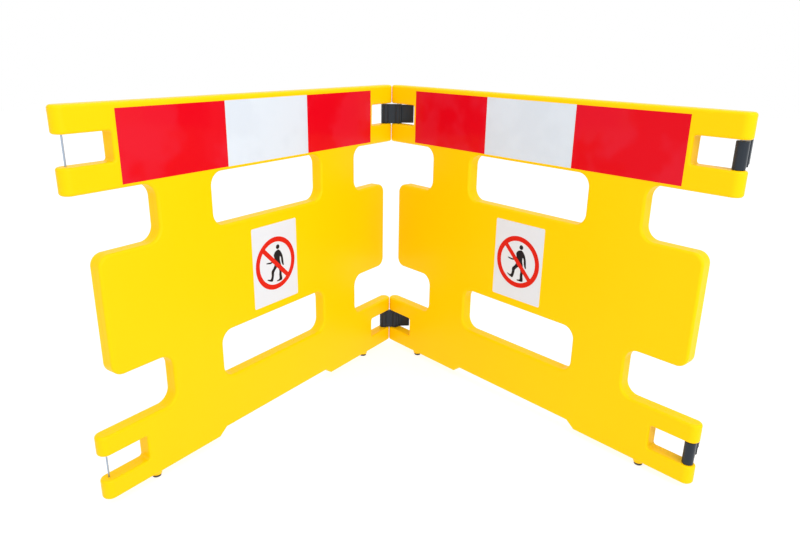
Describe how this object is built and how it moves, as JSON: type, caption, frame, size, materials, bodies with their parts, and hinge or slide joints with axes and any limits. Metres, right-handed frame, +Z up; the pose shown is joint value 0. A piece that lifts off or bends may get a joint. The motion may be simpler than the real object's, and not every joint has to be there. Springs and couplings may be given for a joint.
{
  "type": "folding pedestrian barricade",
  "caption": "Folding barricade of hollow moulded panels joined by clip-on hinge links, with red and white reflective rails, sign labels and rubber feet.",
  "frame": {"origin": "centre of the standing barricade's bounding box, on the floor", "axes": "+Z up, +X across the V from the left panel to the right one, the V opens towards -Y"},
  "size_m": [1.2928, 0.7996, 0.803],
  "materials": {
    "yellow_moulding": "satin",
    "steel_rod": "satin",
    "rubber_tip": "matte",
    "red_sheet": "gloss",
    "white_sheet": "gloss",
    "sign_label": "gloss",
    "black_link": "satin"
  },
  "bodies": {
    "corner_links": {"corner_bottom_link": "black_link", "corner_top_link": "black_link"},
    "left_panel": {"left_panel_shell": "yellow_moulding", "left_outer_foot_tip": "rubber_tip", "left_outer_bottom_rod": "steel_rod", "left_outer_top_rod": "steel_rod", "left_inner_foot_tip": "rubber_tip", "left_inner_bottom_rod": "steel_rod", "left_inner_top_rod": "steel_rod", "left_front_outer_red_sheet": "red_sheet", "left_front_inner_red_sheet": "red_sheet", "left_front_white_sheet": "white_sheet", "left_front_sign_label": "sign_label", "left_back_outer_red_sheet": "red_sheet", "left_back_inner_red_sheet": "red_sheet", "left_back_white_sheet": "white_sheet", "left_back_sign_label": "sign_label"},
    "right_panel": {"right_panel_shell": "yellow_moulding", "right_inner_foot_tip": "rubber_tip", "right_inner_bottom_rod": "steel_rod", "right_inner_top_rod": "steel_rod", "right_outer_foot_tip": "rubber_tip", "right_outer_bottom_rod": "steel_rod", "right_outer_top_rod": "steel_rod", "right_front_inner_red_sheet": "red_sheet", "right_front_outer_red_sheet": "red_sheet", "right_front_white_sheet": "white_sheet", "right_front_sign_label": "sign_label", "right_back_inner_red_sheet": "red_sheet", "right_back_outer_red_sheet": "red_sheet", "right_back_white_sheet": "white_sheet", "right_back_sign_label": "sign_label"},
    "outer_top_link": {"outer_top_link": "black_link"},
    "outer_bottom_link": {"outer_bottom_link": "black_link"}
  },
  "joints": [
    {"name": "left_hinge", "type": "hinge", "parent": "corner_links", "child": "left_panel", "pos_m": [-0.03688, 0.3823, 0], "axis": [0, 0, -1], "range_deg": [-37.75, 142.25]},
    {"name": "right_hinge", "type": "hinge", "parent": "corner_links", "child": "right_panel", "pos_m": [-0.00088, 0.3823, 0], "axis": [0, 0, 1], "range_deg": [-37.75, 142.25]},
    {"name": "outer_top_swing", "type": "hinge", "parent": "right_panel", "child": "outer_top_link", "pos_m": [0.59113, -0.3823, 0], "axis": [0, 0, 1], "continuous": true},
    {"name": "outer_bottom_swing", "type": "hinge", "parent": "right_panel", "child": "outer_bottom_link", "pos_m": [0.59113, -0.3823, 0], "axis": [0, 0, 1], "continuous": true}
  ]
}
